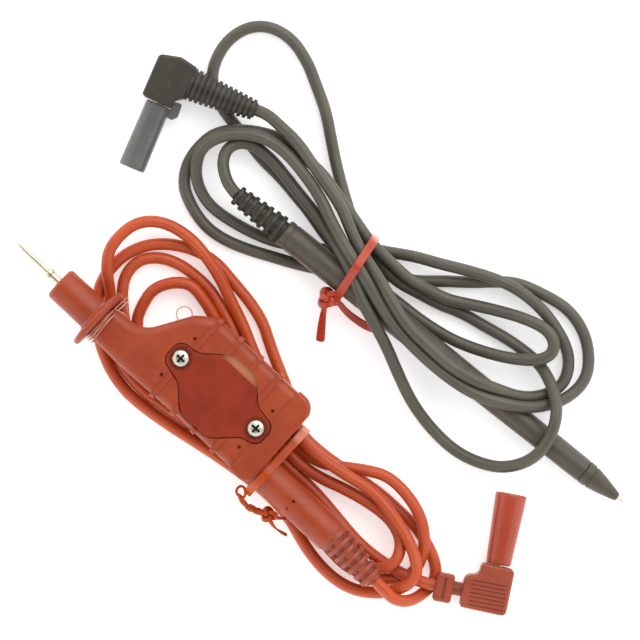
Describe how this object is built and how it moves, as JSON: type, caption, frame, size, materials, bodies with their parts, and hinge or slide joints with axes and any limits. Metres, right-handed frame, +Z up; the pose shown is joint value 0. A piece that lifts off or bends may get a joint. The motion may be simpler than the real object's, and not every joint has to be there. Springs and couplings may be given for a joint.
{
  "type": "test lead probe set",
  "caption": "Red and black needle-tip test probes for a meter, each on a tied-up cord with a right-angle 4 mm plug under a pull-off cap.",
  "frame": {"origin": "on the bench, under the middle of the box around the two probes, their cords and plugs left out", "axes": "+X from the red needle towards the red cord end, along the red probe; +Y across, towards the black probe; +Z up from the bench"},
  "size_m": [0.2126, 0.1282, 0.0227],
  "materials": {
    "red_shell": "satin moulded ABS",
    "dark_red_cover": "satin moulded ABS, darker",
    "red_soft_pvc": "soft moulded PVC",
    "red_clear_pvc": "translucent soft PVC",
    "red_cord_jacket": "satin silicone jacket",
    "tie_wire": "plastic-coated twist tie",
    "screw_steel": "bright nickel plate",
    "needle_nickel": "nickel-plated, turned",
    "contact_brass": "plated brass",
    "black_shell": "satin moulded ABS",
    "black_soft_pvc": "soft moulded PVC",
    "grey_clear_pvc": "smoky soft PVC",
    "black_cord_jacket": "satin silicone jacket",
    "board_green": "glass-epoxy laminate",
    "resistor_body": "lacquered ceramic",
    "tinned_lead": "tinned wire",
    "white_insulator": "nylon",
    "clear_filament": "clear nylon"
  },
  "bodies": {
    "red_lead": {"upper_shell": "red_shell", "lower_shell": "red_shell", "finger_guard": "red_shell", "cover_plate": "dark_red_cover", "red_strain_relief": "red_soft_pvc", "red_plug_elbow": "red_soft_pvc", "red_hank": "red_cord_jacket", "red_cord_probe_end": "red_cord_jacket", "red_cord_plug_end": "red_cord_jacket", "red_rear_tie": "tie_wire", "red_front_tie": "tie_wire", "cover_screws": "screw_steel", "red_needle": "needle_nickel", "red_needle_collar": "needle_nickel", "tip_socket": "contact_brass", "tip_lug": "contact_brass", "red_plug_pin": "contact_brass", "red_plug_spring": "contact_brass", "circuit_board": "board_green", "input_resistor": "resistor_body", "resistor_leads": "tinned_lead", "cord_clamp": "white_insulator", "tag_loop": "clear_filament"},
    "black_lead": {"black_barrel": "black_shell", "black_needle": "needle_nickel", "black_strain_relief": "black_soft_pvc", "black_plug_elbow": "black_soft_pvc", "black_plug_pin": "contact_brass", "black_plug_spring": "contact_brass", "black_hank": "black_cord_jacket", "black_cord_probe_end": "black_cord_jacket", "black_cord_plug_end": "black_cord_jacket", "black_tie": "tie_wire"},
    "red_plug_cap": {"red_plug_cap": "red_clear_pvc"},
    "black_plug_cap": {"black_plug_cap": "grey_clear_pvc"},
    "black_tip_cap": {"black_tip_cap": "black_shell"}
  },
  "joints": [
    {"name": "black_lift", "type": "slide", "parent": "red_lead", "child": "black_lead", "axis": [0, 0, 1], "range_m": [0, 0.06]},
    {"name": "red_cap_pull", "type": "slide", "parent": "red_lead", "child": "red_plug_cap", "axis": [-0.5344, 0.8453, 0], "range_m": [0, 0.006]},
    {"name": "black_cap_pull", "type": "slide", "parent": "black_lead", "child": "black_plug_cap", "axis": [0.342, -0.9397, 0], "range_m": [0, 0.016]},
    {"name": "tip_cap_pull", "type": "slide", "parent": "black_lead", "child": "black_tip_cap", "axis": [0.9956, 0.0784, -0.0523], "range_m": [0, 0.018]}
  ]
}
